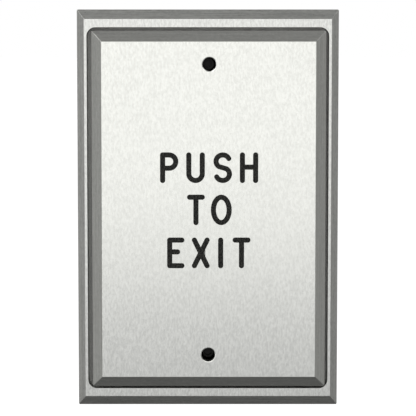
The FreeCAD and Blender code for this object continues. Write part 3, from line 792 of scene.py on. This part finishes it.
# Both kinds of screw have a cross recess, pressed into the head when the blank is formed
RECESS_LENGTH = 0.0029
RECESS_WIDTH = 0.00062
RECESS_DEPTH = 0.0011
RECESS_TAPER = (1.25, 0.35)
PAN_HEAD_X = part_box("switch_screws")[0].x
PAN_HEAD_PLACES = [(PAN_HEAD_X, 0.0068, -0.0211), (PAN_HEAD_X, 0.0171, 0.0011)]
COUNTERSUNK_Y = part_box("bracket_screws")[0].y
COUNTERSUNK_PLACES = [(0.01295, COUNTERSUNK_Y, -0.018), (0.01295, COUNTERSUNK_Y, -0.002)]
ALONG_X = (0, pi / 2, 0)
NO_FLATS = 1.0


def cross_recess(name, material, places, turned):
    """Sets the cross-shaped end of a punch into each screw head."""
    shape = Shape(name, material, Length=RECESS_LENGTH, Width=RECESS_WIDTH, Depth=RECESS_DEPTH)
    length, width, depth = (shape.given[size] for size in ("Length", "Width", "Depth"))
    cone = {
        "Vertices": 16, "Depth": depth * 1.25,
        "Radius Bottom": width * RECESS_TAPER[0], "Radius Top": width * RECESS_TAPER[1],
    }
    parts = [shape.add("GeometryNodeMeshCone", None, cone)["Mesh"]]
    for sizes in ({"X": length, "Y": width}, {"X": width, "Y": length}):
        size = shape.add("ShaderNodeCombineXYZ", None, {**sizes, "Z": depth * 2})["Vector"]
        parts.append(shape.add("GeometryNodeMeshCube", None, {"Size": size})["Mesh"])
    punch = shape.add("GeometryNodeJoinGeometry", None, {"Geometry": parts})["Geometry"]
    laid = shape.add("GeometryNodeTransform", None, {"Geometry": punch, "Rotation": turned})
    on = {"Points": shape.given["Geometry"], "Instance": laid["Geometry"]}
    shape.end(shape.add("GeometryNodeInstanceOnPoints", None, on)["Instances"])
    return shape.make(drawn(name, places))


def punch_recess(piece, punch):
    """Presses the punch into a piece, whose faces all count as round."""
    dent = piece.modifiers.new("recess", "BOOLEAN")
    dent.object = punch
    dent.solver = "EXACT"
    dent.use_self = True
    settle(piece)
    bpy.data.objects.remove(punch)
    even_shading(piece, flat_area=NO_FLATS)


pan_screws = joined("switch_screws", "pan_head_screws")
pan_screws.data.materials.append(ground_steel)
punch_recess(pan_screws, cross_recess("pan_recess", ground_steel, PAN_HEAD_PLACES, ALONG_X))
flush_screws = joined("bracket_screws", "countersunk_screws")
flush_screws.data.materials.append(zinc.material)
flush_punch = cross_recess("flush_recess", zinc.material, COUNTERSUNK_PLACES, ALONG_Y)
punch_recess(flush_screws, flush_punch)
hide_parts("switch_screws")
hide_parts("bracket_screws")
for piece in (pan_screws, flush_screws):
    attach(piece, "base")


# A plain pale floor, with a white room round it
FLOOR_Z = -0.25
FLOOR_REACH = 30.0


def seen_directly(sheet):
    """1 for what the camera, a reflection or a clear body sees, 0 for what only lights."""
    ray = sheet.add("ShaderNodeLightPath")
    glossy = ray["Is Glossy Ray"]
    bounced = glossy.work("MAXIMUM", glossy, ray["Is Transmission Ray"])
    return bounced.work("MAXIMUM", ray["Is Camera Ray"], bounced)


def plane(name, corners, material):
    piece = drawn(name, corners, faces=[(0, 1, 2, 3)])
    piece.data.materials.append(material)
    return piece


def lying(half_width, front, back, z):
    """Corners of a level rectangle."""
    left, right = -half_width, half_width
    return [(left, front, z), (right, front, z), (right, back, z), (left, back, z)]


paper = Finish("floor_paper", Roughness=0.9, Specular_IOR_Level=0.0)
pulp = paper.noise(size=0.05, detail=2)
paper.set("Base Color", paper.tint(pulp, (0.78, 0.78, 0.78), (0.80, 0.80, 0.80)))
paper.set("Emission Color", (1.0, 1.0, 1.0))
paper.set("Emission Strength", seen_directly(paper) * 0.45)
plane("floor", lying(FLOOR_REACH, -FLOOR_REACH, FLOOR_REACH, FLOOR_Z), paper.material)

room = bpy.context.scene.world or bpy.data.worlds.new("room")
bpy.context.scene.world = room
room.use_nodes = True
air = Sheet(room.node_tree)
sky = room.node_tree.nodes["Background"]
sky.inputs["Color"].default_value = (1, 1, 1, 1)
air.join(0.75 + seen_directly(air) * 0.25, sky.inputs["Strength"])


# Grey cards stand round the object, out of the picture, for the bevels to mirror. The one below
# pales towards its front edge, so that the plate's face darkens softly from its middle down.
CARD_REACH = 1.75
CARD_BACK = 0.4
CARD_FOOT = -0.19
CARD_TOP = 0.34
CARD_STOPS = [
    (0.13, (0.092, 0.092, 0.092)),
    (0.29, (0.368, 0.370, 0.380)),
    (0.51, (0.538, 0.540, 0.556)),
    (0.80, (0.538, 0.540, 0.556)),
    (0.985, (1.0, 1.0, 1.0)),
]


def standing(x, front):
    """Corners of an upright card beside the object."""
    foot = [(x, front, CARD_FOOT), (x, CARD_BACK, CARD_FOOT)]
    return foot + [(x, CARD_BACK, CARD_TOP), (x, front, CARD_TOP)]


def card(name, corners, level=None):
    """A card of one grey, or of CARD_STOPS from back to front, that only reflections show."""
    grey = bpy.data.materials.new(name)
    grey.use_nodes = True
    sheet = Sheet(grey.node_tree)
    grey.node_tree.nodes.remove(grey.node_tree.nodes["Principled BSDF"])
    if level is None:
        spot = sheet.add("ShaderNodeTexCoord")["Object"]
        reach = sheet.add("ShaderNodeSeparateXYZ", None, {"Vector": spot})["Y"] * (-1 / CARD_REACH)
        colour = sheet.add("ShaderNodeValToRGB", {"stops": CARD_STOPS}, {"Fac": reach})["Color"]
    else:
        colour = (level, level, level)
    glow = sheet.add("ShaderNodeEmission", None, {"Color": colour, "Strength": 1.0})
    sheet.join(glow["Emission"], grey.node_tree.nodes["Material Output"].inputs["Surface"])
    piece = plane(name, corners, grey)
    piece.visible_camera = False
    piece.visible_diffuse = False
    piece.visible_transmission = False
    piece.visible_shadow = False


card("card_below", lying(0.6, -CARD_REACH, CARD_BACK, z=-0.21))
card("card_above", lying(0.27, -0.38, CARD_BACK, z=0.36), level=0.20)
card("card_left", standing(-0.5, front=-0.4), level=0.28)
card("card_right", standing(0.5, front=-2.0), level=0.23)

# One large soft lamp stands high at the left front
lamp = bpy.data.lights.new("soft_box", "AREA")
lamp.shape = "SQUARE"
lamp.size = 1.0
lamp.energy = 9.0
soft_box = bpy.data.objects.new("soft_box", lamp)
soft_box.location = (-0.9, -1.1, 1.2)
soft_box.rotation_euler = (-soft_box.location).to_track_quat("-Z", "Y").to_euler()
bpy.context.scene.collection.objects.link(soft_box)


# The photograph is taken straight on with a long lens, from a little above the middle
VIEW_DISTANCE = 0.56
VIEW_RISE = radians(5.01)
AIM = Vector((0.000045, 0.0, -0.000207))
FOCAL_LENGTH = 166.7

lens = bpy.data.cameras.new("photo_lens")
lens.lens = FOCAL_LENGTH
lens.sensor_width = 36
lens.clip_start = 0.01
camera = bpy.data.objects.new("photo_camera", lens)
sight = Vector((0, -VIEW_DISTANCE * cos(VIEW_RISE), VIEW_DISTANCE * sin(VIEW_RISE)))
camera.location = AIM + sight
camera.rotation_euler = (AIM - camera.location).to_track_quat("-Z", "Y").to_euler()
bpy.context.scene.collection.objects.link(camera)
bpy.context.scene.camera = camera
bpy.context.scene.view_settings.view_transform = "Standard"
